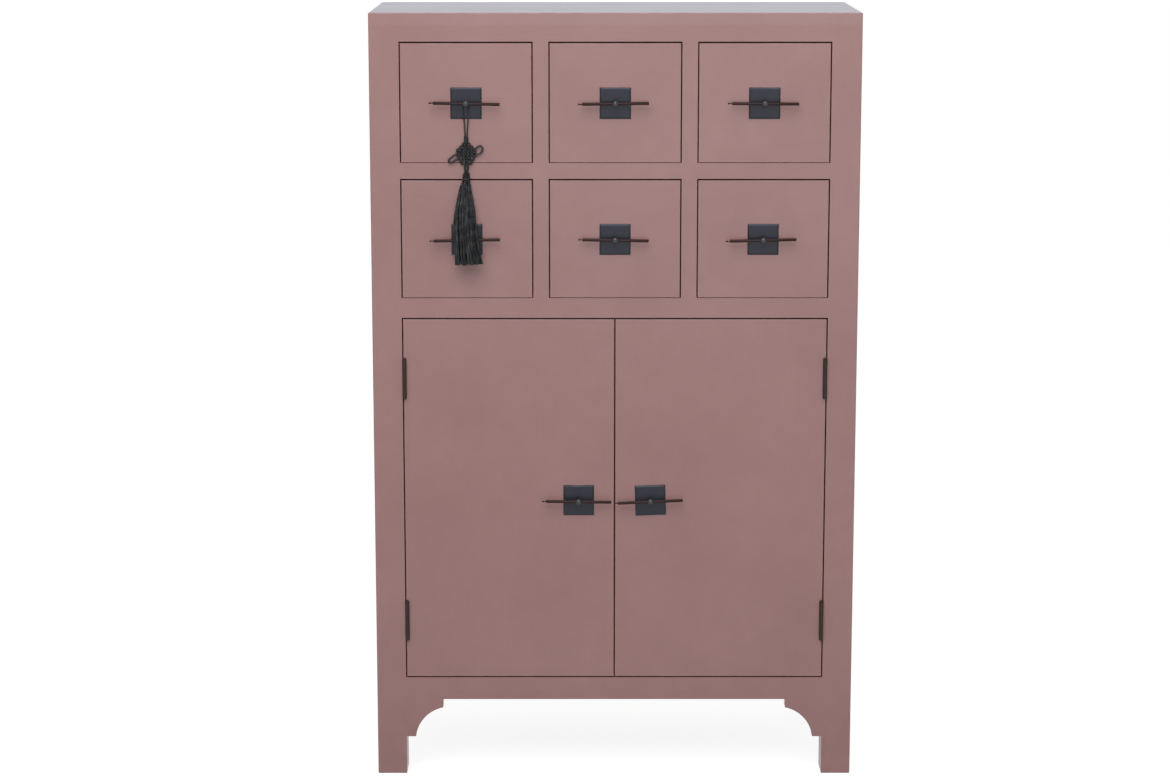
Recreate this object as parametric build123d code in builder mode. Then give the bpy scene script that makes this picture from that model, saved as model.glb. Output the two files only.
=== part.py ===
from build123d import *
import os
from math import acos, atan2, cos, degrees, hypot, pi, radians, sin, sqrt

# Painted cabinet: six flush drawers in two rows over a cupboard with two flush doors.
# Millimetres. +Z is up, the front faces -Y, and +X is to the right of someone facing the front.
# The origin is on the floor, in the middle of the whole box, pulls included.

# Widths across the front
leg_face = 38.5
drawer_opening_width = 171.0
divider_thickness = 20.0

# Heights up the front, from the floor
leg_clear_height = 103.0
bottom_rail_height = 30.0
door_opening_height = 484.0
waist_rail_height = 26.0
drawer_opening_height = 155.0
drawer_rail_height = 20.5
top_rail_height = 21.5
top_thickness = 15.0

# Depths and boards of the carcass
carcass_depth = 260.0
front_leg_depth = 38.5
rear_leg_depth = 38.5
rear_leg_thickness = 20.0
rail_thickness = 18.0
side_thickness = 12.0
side_setback = 3.0
back_thickness = 5.0
deck_thickness = 9.0
floor_thickness = 12.0
shelf_thickness = 15.0
shelf_setback = 8.0
guide_height = 20.0
edge_round = 1.5
top_edge_chamfer = 1.0
foot_chamfer = 1.0

# Joints of the carcass: how far each piece runs into the next
tenon_length = 20.0
tenon_thickness = 8.0
tenon_shoulder = 3.0
glue_room = 0.5
side_groove = 8.0
back_lap = 8.0
back_inset = 0.8
deck_lap = 8.0
housing_depth = 4.0

# Corner brackets under the bottom rail: a step, a cove and a toe against the leg
bracket_reach = 49.0
bracket_height = 51.5
bracket_step = 11.5
bracket_toe = 12.4
cove_radius = 46.0

# Drawers
drawer_side_gap = 1.5
drawer_top_gap = 2.0
drawer_bottom_gap = 0.5
drawer_back_gap = 0.5
drawer_front_thickness = 18.0
drawer_side_thickness = 10.0
drawer_back_thickness = 10.0
drawer_bottom_thickness = 4.0
drawer_bottom_lift = 8.0
drawer_groove = 4.0
front_rebate = 8.0
box_top_drop = 35.0
front_edge_chamfer = 0.6

# Doors
door_thickness = 18.0
door_hinge_gap = 1.5
door_meeting_gap = 1.5
door_top_gap = 2.0
door_bottom_gap = 1.5

# Butt hinges, with the barrel in front of the door beside the leg
hinge_end_distance = 77.5
barrel_length = 52.0
barrel_radius = 2.75
barrel_inset = 0.1
barrel_proud = 0.35
knuckle_count = 3
knuckle_gap = 0.2
leaf_thickness = 1.2
leaf_gap = 0.2
leaf_width = 16.0
hinge_pin_radius = 1.3
hinge_pin_play = 0.05
hinge_head_radius = 2.2
hinge_head_height = 1.0

# Sides of the small turned hardware and of the cord, which are drawn flat-sided
turned_sides = 12
cord_sides = 8

# Magnetic catches and their strike plates
catch_offset = 42.0
catch_width = 36.0
catch_depth = 13.0
catch_drop = 20.0
catch_gap = 0.2
strike_width = 28.0
strike_height = 15.0
strike_thickness = 1.5

# Pulls: square plate, round-headed post with a nut, and a cross pin through the head
plate_size = 40.0
plate_thickness = 2.0
plate_bevel_depth = 1.0
plate_bevel_width = 2.0
post_standoff = 11.0
post_head_radius = 4.4
head_ledge = 0.2
post_neck_radius = 2.5
post_shank_radius = 2.0
post_play = 0.08
post_tip_radius = 1.8
seat_gap = 0.15
nut_radius = 4.0
nut_thickness = 3.0
post_tail = 1.5
thread_play = 0.03
pin_radius = 2.2
pin_left = 43.0
pin_right = 42.5
pin_end_chamfer = 0.7
pin_neck_length = 3.0
pin_neck_radius = 0.8
pin_bead_radius = 1.3
pin_bead_length = 2.6
pin_bead_chamfer = 0.5
door_pull_offset = 47.0

# How far each pin hangs down to the right, and the one plate that sits askew, in degrees
pin_tilts = {
    "drawer_upper_left": 1.2,
    "drawer_upper_middle": -0.8,
    "drawer_upper_right": 0.4,
    "drawer_lower_left": -1.1,
    "drawer_lower_middle": 1.0,
    "drawer_lower_right": -1.4,
    "door_left": 0.8,
    "door_right": -2.6,
}
plate_tilts = {"door_right": -2.0}

# Tassel, measured down from the axis of the post that it hangs on
cord_diameter = 1.8
loop_play = 0.3
strand_gap = 0.4
strand_seat = 0.1
knot_drop = 43.0
knot_height = 36.0
knot_strand = 2.2
knot_slot_length = 27.0
knot_slot_width = 7.0
knot_corner = 2.0
knot_slope = 52.0
knot_layer_overlap = 0.4
knot_collar_radius = 2.6
knot_collar_height = 6.0
ear_width = 6.5
left_ear_length = 18.0
left_ear_slope = 23.0
right_ear_length = 15.5
right_ear_slope = 16.0
tail_length = 9.5
tail_radius = 1.5
head_radius = 4.0
head_height = 8.0
skirt_length = 110.0
skirt_clearance = 0.6
skirt_shoulder_drop = 24.2
skirt_lift_height = 14.3
skirt_flutes = 12
flute_depth = 0.08

# The skirt at five heights: half width, half depth, lean towards the viewer and shift to the right
skirt_neck = (5.2, 4.5, -0.2, 0.0)
skirt_shoulder = (10.3, 5.0, 4.5, 0.5)
skirt_lift = (14.5, 5.5, 2.0, 1.5)
skirt_rest = (16.0, 5.5, 5.5, 2.2)
skirt_hem = (19.0, 6.0, 7.0, 3.5)


def above(span, height):
    """The span of heights that starts where another one ends."""
    return span[1], span[1] + height


def middle(span):
    """The middle of a span."""
    return (span[0] + span[1]) / 2


def size(span):
    """The length of a span."""
    return span[1] - span[0]


def inset(span, distance):
    """A span drawn in by a distance at both ends."""
    return span[0] + distance, span[1] - distance


def on_side(sign, inner, outer):
    """The span of X between two distances from the middle, on the left (-1) or right (+1) side."""
    return (inner, outer) if sign > 0 else (-outer, -inner)


def block(x_span, y_span, z_span, mode=Mode.ADD):
    """A straight block between two corners, added to or cut from the piece being built."""
    with Locations((middle(x_span), middle(y_span), middle(z_span))):
        Box(size(x_span), size(y_span), size(z_span), mode=mode)


def cord_loop(length, width, strand, corner):
    """A flat loop of cord with cut corners, as a sketch about its middle."""
    with BuildSketch() as loop_face:
        Rectangle(length, width)
        chamfer(loop_face.vertices(), corner)
    with BuildSketch() as loop_hole:
        Rectangle(length - 2 * strand, width - 2 * strand)
        chamfer(loop_hole.vertices(), corner - (2 - sqrt(2)) * strand)
    return loop_face.sketch, loop_hole.sketch


def save(piece, name):
    """Name a finished piece and write its file."""
    piece.part.label = name
    export_step(piece.part, f"parts/{name}.step")


os.makedirs("parts", exist_ok=True)

# Places that follow from the driving dimensions
bottom_rail_z = (leg_clear_height, leg_clear_height + bottom_rail_height)
door_opening_z = above(bottom_rail_z, door_opening_height)
waist_rail_z = above(door_opening_z, waist_rail_height)
lower_opening_z = above(waist_rail_z, drawer_opening_height)
drawer_rail_z = above(lower_opening_z, drawer_rail_height)
upper_opening_z = above(drawer_rail_z, drawer_opening_height)
top_rail_z = above(upper_opening_z, top_rail_height)
top_panel_z = above(top_rail_z, top_thickness)
carcass_top = top_rail_z[1]
upper_deck_z = (drawer_rail_z[1] - deck_thickness, drawer_rail_z[1])
lower_deck_z = (waist_rail_z[1] - deck_thickness, waist_rail_z[1])
floor_z = (bottom_rail_z[1] - floor_thickness, bottom_rail_z[1])
shelf_z = (middle(door_opening_z) - shelf_thickness / 2, middle(door_opening_z) + shelf_thickness / 2)

half_width = leg_face + 1.5 * drawer_opening_width + divider_thickness
opening_half = half_width - leg_face
side_outer = half_width - side_setback
side_inner = side_outer - side_thickness
housed_half = side_inner + housing_depth
rear_gap_half = half_width - rear_leg_thickness
column_pitch = drawer_opening_width + divider_thickness
divider_x = column_pitch / 2

pull_reach = post_standoff + post_head_radius
front_y = (pull_reach - carcass_depth) / 2
back_y = front_y + carcass_depth
front_leg_y = (front_y, front_y + front_leg_depth)
rear_leg_y = (back_y - rear_leg_depth, back_y)
rail_y = (front_y, front_y + rail_thickness)
back_panel_y = (back_y - back_inset - back_thickness, back_y - back_inset)
between_legs_y = (front_leg_y[1], rear_leg_y[0])
tenon_y = inset(rail_y, (rail_thickness - tenon_thickness) / 2)

sides = {"left": -1, "right": 1}
columns = {"left": -column_pitch, "middle": 0.0, "right": column_pitch}
rows = {"upper": upper_opening_z, "lower": lower_opening_z}
rails = {
    "top_rail": (top_rail_z, 0.0),
    "drawer_rail": (drawer_rail_z, deck_thickness),
    "waist_rail": (waist_rail_z, deck_thickness),
    "bottom_rail": (bottom_rail_z, floor_thickness),
}
housed_boards_z = (upper_deck_z, lower_deck_z, floor_z)

# Front legs: square posts with a groove for the side panel and a mortise for each rail
for side, sign in sides.items():
    with BuildPart() as front_leg:
        block(on_side(sign, opening_half, half_width), front_leg_y, (0, carcass_top))
        outer_edges = front_leg.edges().filter_by(Axis.Z).group_by(Axis.Y)[0]
        fillet(outer_edges.sort_by(Axis.X)[-1 if sign > 0 else 0], edge_round)
        chamfer(front_leg.faces().sort_by(Axis.Z)[0].edges(), foot_chamfer)
        groove_y = (front_leg_y[1] - side_groove, front_leg_y[1])
        groove_z = (leg_clear_height, carcass_top)
        block(on_side(sign, side_inner, side_outer), groove_y, groove_z, Mode.SUBTRACT)
        for rail_z, _ in rails.values():
            mortise_x = on_side(sign, opening_half, opening_half + tenon_length + glue_room)
            block(mortise_x, tenon_y, inset(rail_z, tenon_shoulder), Mode.SUBTRACT)
    save(front_leg, f"front_leg_{side}")

# Rear legs: slimmer posts with a groove for the side panel and a rebate for the back panel
back_panel_z = (floor_z[0], carcass_top)
for side, sign in sides.items():
    with BuildPart() as rear_leg:
        block(on_side(sign, rear_gap_half, half_width), rear_leg_y, (0, carcass_top))
        outer_edges = rear_leg.edges().filter_by(Axis.Z).group_by(Axis.Y)[-1]
        fillet(outer_edges.sort_by(Axis.X)[-1 if sign > 0 else 0], edge_round)
        chamfer(rear_leg.faces().sort_by(Axis.Z)[0].edges(), foot_chamfer)
        groove_y = (rear_leg_y[0], rear_leg_y[0] + side_groove)
        groove_z = (leg_clear_height, carcass_top)
        block(on_side(sign, side_inner, side_outer), groove_y, groove_z, Mode.SUBTRACT)
        rebate_x = on_side(sign, rear_gap_half, rear_gap_half + back_lap)
        block(rebate_x, (back_panel_y[0], back_y), back_panel_z, Mode.SUBTRACT)
    save(rear_leg, f"rear_leg_{side}")

# Side panels: boards in the legs' grooves, housed for the decks, the floor and the shelf
shelf_front_y = front_leg_y[1] + shelf_setback
for side, sign in sides.items():
    with BuildPart() as side_panel:
        panel_y = (front_leg_y[1] - side_groove, rear_leg_y[0] + side_groove)
        block(on_side(sign, side_inner, side_outer), panel_y, (leg_clear_height, carcass_top))
        housing_x = on_side(sign, side_inner, housed_half)
        for board_z in housed_boards_z:
            block(housing_x, between_legs_y, board_z, Mode.SUBTRACT)
        block(housing_x, (shelf_front_y, rear_leg_y[0]), shelf_z, Mode.SUBTRACT)
    save(side_panel, f"side_panel_{side}")

# Top panel: flush with the carcass all round, with softened edges
with BuildPart() as top_panel:
    block((-half_width, half_width), (front_y, back_y), top_panel_z)
    fillet(top_panel.edges().filter_by(Axis.Z), edge_round)
    chamfer(top_panel.faces().sort_by(Axis.Z)[-1].edges(), top_edge_chamfer)
save(top_panel, "top_panel")

# Back panel: thin board in the rebates of the rear legs
with BuildPart() as back_panel:
    back_half = rear_gap_half + back_lap
    block((-back_half, back_half), back_panel_y, back_panel_z)
save(back_panel, "back_panel")

# Rails: flush with the legs, tenoned into them, and rebated where a deck or the floor lands
for name, (rail_z, rebate) in rails.items():
    with BuildPart() as rail:
        block((-opening_half, opening_half), rail_y, rail_z)
        tenon_half = opening_half + tenon_length
        block((-tenon_half, tenon_half), tenon_y, inset(rail_z, tenon_shoulder))
        if rebate:
            rebate_y = (rail_y[1] - deck_lap, rail_y[1])
            rebate_z = (rail_z[1] - rebate, rail_z[1])
            block((-opening_half, opening_half), rebate_y, rebate_z, Mode.SUBTRACT)
    save(rail, name)

# Corner brackets: sawn with a step and a cove, glued under the bottom rail against each leg
for side, sign in sides.items():
    front_plane = Plane(origin=(0, front_y, 0), x_dir=(1, 0, 0), z_dir=(0, -1, 0))
    tip_x = sign * (opening_half - bracket_reach)
    toe_x = sign * (opening_half - bracket_toe)
    leg_x = sign * opening_half
    step_z = leg_clear_height - bracket_step
    toe_z = leg_clear_height - bracket_height
    with BuildPart() as bracket:
        with BuildSketch(front_plane):
            with BuildLine():
                Polyline(
                    (leg_x, toe_z),
                    (leg_x, leg_clear_height),
                    (tip_x, leg_clear_height),
                    (tip_x, step_z),
                )
                RadiusArc((tip_x, step_z), (toe_x, toe_z), sign * cove_radius)
                Line((toe_x, toe_z), (leg_x, toe_z))
            make_face()
        extrude(amount=-rail_thickness)
    save(bracket, f"bracket_{side}")

# Drawer dividers: boards on edge between the drawers, notched at the top front for the rail
divider_tops = {"upper": carcass_top, "lower": upper_deck_z[0]}
with BuildPart() as dividers:
    for row, opening_z in rows.items():
        for sign in sides.values():
            with BuildSketch(Plane.YZ.offset(sign * divider_x)):
                with BuildLine():
                    Polyline(
                        (front_y, opening_z[0]),
                        (back_panel_y[0], opening_z[0]),
                        (back_panel_y[0], divider_tops[row]),
                        (rail_y[1], divider_tops[row]),
                        (rail_y[1], opening_z[1]),
                        (front_y, opening_z[1]),
                        close=True,
                    )
                make_face()
            extrude(amount=divider_thickness / 2, both=True)
save(dividers, "drawer_dividers")

# Level boards, housed in both side panels and notched round the legs
deck_front_y = rail_y[1] - deck_lap
level_boards = {
    "upper_drawer_deck": (upper_deck_z, deck_front_y),
    "lower_drawer_deck": (lower_deck_z, deck_front_y),
    "cupboard_floor": (floor_z, deck_front_y),
    "cupboard_shelf": (shelf_z, shelf_front_y),
}
for name, (board_z, board_front_y) in level_boards.items():
    with BuildPart() as board:
        wide_y = (max(board_front_y, front_leg_y[1]), rear_leg_y[0])
        block((-housed_half, housed_half), wide_y, board_z)
        block((-rear_gap_half, rear_gap_half), (rear_leg_y[0], back_panel_y[0]), board_z)
        if board_front_y < front_leg_y[1]:
            block((-opening_half, opening_half), (board_front_y, front_leg_y[1]), board_z)
    save(board, name)

# Drawer guides: strips on the decks that carry on the line of the front legs
with BuildPart() as guides:
    for opening_z in rows.values():
        for sign in sides.values():
            guide_z = (opening_z[0], opening_z[0] + guide_height)
            block(on_side(sign, opening_half, side_inner), between_legs_y, guide_z)
save(guides, "drawer_guides")


# Pulls
def pull_nodes(name, x, z, board_thickness):
    """The backplate and the handle of one pull, on a board whose front is flush with the carcass."""
    plate_turn = Rotation(0, plate_tilts.get(name, 0.0), 0)
    plate_plane = Plane(Location((x, front_y, z)) * plate_turn * Plane.XZ.location)
    with BuildPart() as plate:
        with BuildSketch(plate_plane):
            Rectangle(plate_size, plate_size)
            RegularPolygon(
                post_shank_radius + post_play, turned_sides, major_radius=False, mode=Mode.SUBTRACT
            )
        extrude(amount=plate_thickness)
        face = plate.faces().sort_by(Axis.Y)[0]
        chamfer(face.outer_wire().edges(), plate_bevel_width, plate_bevel_depth, reference=face)
    save(plate, f"{name}_pull_plate")

    post_plane = Plane(origin=(x, front_y, z), x_dir=(1, 0, 0), z_dir=(0, -1, 0))
    pin_turn = Rotation(0, pin_tilts[name], 0)
    pin_tilted = Plane(Location((x, front_y - post_standoff, z)) * pin_turn)
    pin_plane = Plane(pin_tilted.origin, x_dir=(0, 1, 0), z_dir=pin_tilted.x_dir)
    neck_base = plate_thickness + seat_gap
    head_base = post_standoff - sqrt(post_head_radius**2 - post_neck_radius**2)
    flat_share = cos(pi / turned_sides)
    head_front_bevel = (post_head_radius - post_tip_radius) * flat_share
    head_back_bevel = (post_head_radius - post_neck_radius - head_ledge) * flat_share
    nut_face = -board_thickness - seat_gap
    tail_end = nut_face - nut_thickness - post_tail
    with BuildPart() as handle:
        with BuildSketch(post_plane.offset(tail_end)):
            Circle(post_shank_radius)
        extrude(amount=neck_base - tail_end)
        with BuildSketch(post_plane.offset(neck_base)):
            RegularPolygon(post_neck_radius, turned_sides)
        extrude(amount=head_base - neck_base)
        with BuildSketch(post_plane.offset(head_base)):
            RegularPolygon(post_head_radius, turned_sides)
        extrude(amount=pull_reach - head_base)
        tip, shoulder = handle.faces().filter_by(Plane.XZ).sort_by(Axis.Y)[:2]
        chamfer(tip.edges(), head_front_bevel)
        chamfer(shoulder.outer_wire().edges(), head_back_bevel)
        with BuildSketch(pin_plane):
            RegularPolygon(pin_radius + thread_play, turned_sides)
        extrude(amount=pin_left, both=True, mode=Mode.SUBTRACT)
        with BuildSketch(pin_plane.offset(-pin_left)):
            RegularPolygon(pin_radius, turned_sides)
        extrude(amount=pin_left + pin_right)
        chamfer(handle.faces().sort_by(Axis.X)[0].edges(), pin_end_chamfer)
        chamfer(handle.faces().sort_by(Axis.X)[-1].edges(), pin_end_chamfer)
        with BuildSketch(pin_plane.offset(-pin_left)):
            RegularPolygon(pin_neck_radius, turned_sides)
        extrude(amount=-pin_neck_length)
        with BuildSketch(pin_plane.offset(-pin_left - pin_neck_length)):
            RegularPolygon(pin_bead_radius, turned_sides)
        extrude(amount=-pin_bead_length)
        chamfer(handle.faces().sort_by(Axis.X)[0].edges(), pin_bead_chamfer)
        with BuildSketch(post_plane.offset(nut_face)):
            RegularPolygon(nut_radius, 6)
            RegularPolygon(
                post_shank_radius + thread_play, turned_sides, major_radius=False, mode=Mode.SUBTRACT
            )
        extrude(amount=-nut_thickness)
    save(handle, f"{name}_pull_handle")


# Drawers: a flush front, and a box whose sides run in rebates of the front
drawer_front_half = drawer_opening_width / 2 - drawer_side_gap
drawer_front_y = (front_y, front_y + drawer_front_thickness)
drawer_back_y = back_panel_y[0] - drawer_back_gap
box_inner_half = drawer_front_half - drawer_side_thickness
for row, opening_z in rows.items():
    front_z = (opening_z[0] + drawer_bottom_gap, opening_z[1] - drawer_top_gap)
    box_z = (opening_z[0], opening_z[1] - box_top_drop)
    bottom_z = (box_z[0] + drawer_bottom_lift, box_z[0] + drawer_bottom_lift + drawer_bottom_thickness)
    rebate_y = (drawer_front_y[1] - front_rebate, drawer_front_y[1])
    groove_y = (drawer_front_y[1] - drawer_groove, drawer_front_y[1])
    groove_half = box_inner_half + drawer_groove
    for column, x in columns.items():
        name = f"drawer_{row}_{column}"
        pull_z = middle(front_z)
        with BuildPart() as front:
            block((x - drawer_front_half, x + drawer_front_half), drawer_front_y, front_z)
            chamfer(front.faces().sort_by(Axis.Y)[0].edges(), front_edge_chamfer)
            for sign in sides.values():
                near, far = sorted((x + sign * box_inner_half, x + sign * drawer_front_half))
                block((near, far), rebate_y, (front_z[0], box_z[1]), Mode.SUBTRACT)
            block((x - groove_half, x + groove_half), groove_y, bottom_z, Mode.SUBTRACT)
            with BuildSketch(Plane.XZ.offset(-front_y)):
                with Locations((x, pull_z)):
                    Circle(post_shank_radius + post_play)
            extrude(amount=-drawer_front_thickness, mode=Mode.SUBTRACT)
        save(front, f"{name}_front")

        with BuildPart() as box_sides:
            for sign in sides.values():
                near, far = sorted((x + sign * box_inner_half, x + sign * drawer_front_half))
                block((near, far), (rebate_y[0], drawer_back_y), box_z)
            groove_span = (x - groove_half, x + groove_half)
            block(groove_span, (rebate_y[0], drawer_back_y), bottom_z, Mode.SUBTRACT)
        with BuildPart() as box_back:
            back_span_y = (drawer_back_y - drawer_back_thickness, drawer_back_y)
            block((x - box_inner_half, x + box_inner_half), back_span_y, (bottom_z[1], box_z[1]))
        with BuildPart() as box_bottom:
            block(groove_span, (groove_y[0], drawer_back_y), bottom_z)
        box = Compound(children=[*box_sides.part.solids(), box_back.part.solid(), box_bottom.part.solid()])
        box.label = f"{name}_box"
        export_step(box, f"parts/{name}_box.step")

        pull_nodes(name, x, pull_z, drawer_front_thickness)

# Doors: flush slabs let in at the edge for their hinge leaves, with a strike plate at the top
door_z = (door_opening_z[0] + door_bottom_gap, door_opening_z[1] - door_top_gap)
door_y = (front_y, front_y + door_thickness)
door_inner = door_meeting_gap / 2
door_outer = opening_half - door_hinge_gap
hinge_middles = (door_z[0] + hinge_end_distance, door_z[1] - hinge_end_distance)
frame_leaf_outer = opening_half
frame_leaf_inner = frame_leaf_outer - leaf_thickness
door_leaf_outer = frame_leaf_inner - leaf_gap
door_leaf_inner = door_leaf_outer - leaf_thickness
leaf_y = (front_y, front_y + leaf_width)
hinge_x = opening_half - barrel_inset - barrel_radius
hinge_y = front_y - barrel_proud - barrel_radius
strike_z = inset((door_z[1] - catch_drop, door_z[1]), (catch_drop - strike_height) / 2)
strike_y = (door_y[1], door_y[1] + strike_thickness)
door_pull_z = middle(door_z)
for side, sign in sides.items():
    name = f"door_{side}"
    pull_x = sign * door_pull_offset
    with BuildPart() as door:
        block(on_side(sign, door_inner, door_outer), door_y, door_z)
        chamfer(door.faces().sort_by(Axis.Y)[0].edges(), front_edge_chamfer)
        for hinge_z in hinge_middles:
            let_in_z = (hinge_z - barrel_length / 2, hinge_z + barrel_length / 2)
            block(on_side(sign, door_leaf_inner, door_outer), leaf_y, let_in_z, Mode.SUBTRACT)
        with BuildSketch(Plane.XZ.offset(-front_y)):
            with Locations((pull_x, door_pull_z)):
                Circle(post_shank_radius + post_play)
        extrude(amount=-door_thickness, mode=Mode.SUBTRACT)
    save(door, f"{name}_panel")

    with BuildPart() as strike:
        strike_x = (sign * catch_offset - strike_width / 2, sign * catch_offset + strike_width / 2)
        block(strike_x, strike_y, strike_z)
    save(strike, f"{name}_strike_plate")
    pull_nodes(name, pull_x, door_pull_z, door_thickness)


# Hinges
def hinge_leaf(sign, hinge_z, leaf_inner, leaf_outer, knuckles):
    """One leaf of a hinge: a flat plate whose edge curls round the pin in the given knuckles."""
    bottom = hinge_z - barrel_length / 2
    pitch = barrel_length / knuckle_count
    leaf_x = on_side(sign, leaf_inner, leaf_outer)
    with BuildPart() as leaf:
        block(leaf_x, leaf_y, (bottom, bottom + barrel_length))
        for knuckle in knuckles:
            knuckle_z = inset((bottom + knuckle * pitch, bottom + (knuckle + 1) * pitch), knuckle_gap / 2)
            block(leaf_x, (hinge_y, front_y), knuckle_z)
            with BuildSketch(Plane.XY.offset(knuckle_z[0])) as curl:
                with Locations((sign * hinge_x, hinge_y)):
                    Circle(barrel_radius)
            extrude(curl.sketch, amount=size(knuckle_z))
        with BuildSketch(Plane.XY.offset(bottom)) as bore:
            with Locations((sign * hinge_x, hinge_y)):
                Circle(hinge_pin_radius + hinge_pin_play)
        extrude(bore.sketch, amount=barrel_length, mode=Mode.SUBTRACT)
    return leaf.part.solid()


frame_knuckles = range(0, knuckle_count, 2)
door_knuckles = range(1, knuckle_count, 2)
frame_leaves = []
for side, sign in sides.items():
    door_leaves = []
    for hinge_z in hinge_middles:
        frame_leaves.append(hinge_leaf(sign, hinge_z, frame_leaf_inner, frame_leaf_outer, frame_knuckles))
        door_leaves.append(hinge_leaf(sign, hinge_z, door_leaf_inner, door_leaf_outer, door_knuckles))
    leaves = Compound(label=f"door_{side}_hinge_leaves", children=door_leaves)
    export_step(leaves, f"parts/door_{side}_hinge_leaves.step")
leaves = Compound(label="hinge_frame_leaves", children=frame_leaves)
export_step(leaves, "parts/hinge_frame_leaves.step")

# Hinge pins: rods with a flat head at each end of the barrel
with BuildPart() as hinge_pins:
    for sign in sides.values():
        for hinge_z in hinge_middles:
            top = hinge_z + barrel_length / 2
            bottom = hinge_z - barrel_length / 2
            with BuildSketch(Plane.XY.offset(bottom - hinge_head_height)):
                with Locations((sign * hinge_x, hinge_y)):
                    RegularPolygon(hinge_head_radius, turned_sides)
            extrude(amount=hinge_head_height)
            with BuildSketch(Plane.XY.offset(bottom)):
                with Locations((sign * hinge_x, hinge_y)):
                    Circle(hinge_pin_radius)
            extrude(amount=barrel_length)
            with BuildSketch(Plane.XY.offset(top)):
                with Locations((sign * hinge_x, hinge_y)):
                    RegularPolygon(hinge_head_radius, turned_sides)
            extrude(amount=hinge_head_height)
save(hinge_pins, "hinge_pins")

# Magnetic catches: blocks under the lower deck, behind the strike plates
with BuildPart() as catches:
    for sign in sides.values():
        catch_x = (sign * catch_offset - catch_width / 2, sign * catch_offset + catch_width / 2)
        catch_y = (strike_y[1] + catch_gap, strike_y[1] + catch_gap + catch_depth)
        block(catch_x, catch_y, (door_z[1] - catch_drop, lower_deck_z[0]))
save(catches, "door_catches")

# Tassel loop: a cord laid round the neck of the post, its two strands drawn to the knot
tassel_x = columns["left"]
tassel_z = middle((upper_opening_z[0] + drawer_bottom_gap, upper_opening_z[1] - drawer_top_gap))
cord_radius = cord_diameter / 2
cord_y = front_y - plate_thickness - loop_play - cord_radius
loop_radius = post_neck_radius + loop_play + cord_radius
strand_x = cord_radius + strand_gap / 2
strand_drop = knot_drop - strand_seat
reach_angle = degrees(atan2(-strand_drop, strand_x) + acos(loop_radius / hypot(strand_x, strand_drop)))
loop_plane = Plane(origin=(tassel_x, cord_y, tassel_z), x_dir=(1, 0, 0), z_dir=(0, -1, 0))
with BuildPart() as loop:
    with BuildLine(loop_plane) as loop_path:
        over = CenterArc((0, 0), loop_radius, reach_angle, 180 - 2 * reach_angle)
        Line((strand_x, -strand_drop), over @ 0)
        Line(over @ 1, (-strand_x, -strand_drop))
    strand_end = loop_plane.from_local_coords((strand_x, -strand_drop))
    with BuildSketch(Plane(strand_end, z_dir=loop_path.wire() % 0)):
        RegularPolygon(cord_radius, cord_sides)
    sweep(path=loop_path.wire())
save(loop, "tassel_loop")

# Tassel knot: two crossed layers of looped cord with an ear at each side, a collar and a tail
knot_z = tassel_z - knot_drop - knot_height / 2
knot_top = tassel_z - knot_drop
knot_bottom = knot_top - knot_height
slot_pitch = knot_slot_width - knot_strand
weave_loop, weave_hole = cord_loop(knot_slot_length, knot_slot_width, knot_strand, knot_corner)
layer_shift = (knot_strand - knot_layer_overlap) / 2
with BuildPart() as knot:
    for layer, slope in ((-layer_shift, knot_slope), (layer_shift, 180 - knot_slope)):
        weave_turn = Rotation(0, -slope, 0) * Plane.XZ.location
        with BuildSketch(Plane(Location((tassel_x, cord_y + layer, knot_z)) * weave_turn)):
            with GridLocations(knot_slot_length, slot_pitch, 1, 3):
                add(weave_loop)
            with GridLocations(knot_slot_length, slot_pitch, 1, 3):
                add(weave_hole, mode=Mode.SUBTRACT)
        extrude(amount=knot_strand / 2, both=True)
    for length, slope in ((left_ear_length, 180 + left_ear_slope), (right_ear_length, right_ear_slope)):
        ear_turn = Rotation(0, -slope, 0) * Plane.XZ.location
        ear_middle = knot_slot_width + length / 2
        ear_loop, ear_hole = cord_loop(length, ear_width, knot_strand, knot_corner)
        with BuildSketch(Plane(Location((tassel_x, cord_y, knot_z)) * ear_turn)):
            with Locations((ear_middle, 0)):
                add(ear_loop)
                add(ear_hole, mode=Mode.SUBTRACT)
        extrude(amount=knot_strand / 2, both=True)
    with BuildSketch(Plane.XY.offset(knot_top - knot_collar_height)):
        with Locations((tassel_x, cord_y)):
            RegularPolygon(knot_collar_radius, turned_sides)
    extrude(amount=knot_collar_height)
    with BuildSketch(Plane.XY.offset(knot_bottom - tail_length)):
        with Locations((tassel_x, cord_y)):
            RegularPolygon(tail_radius, cord_sides)
    extrude(amount=tail_length + knot_collar_height)
save(knot, "tassel_knot")

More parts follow.
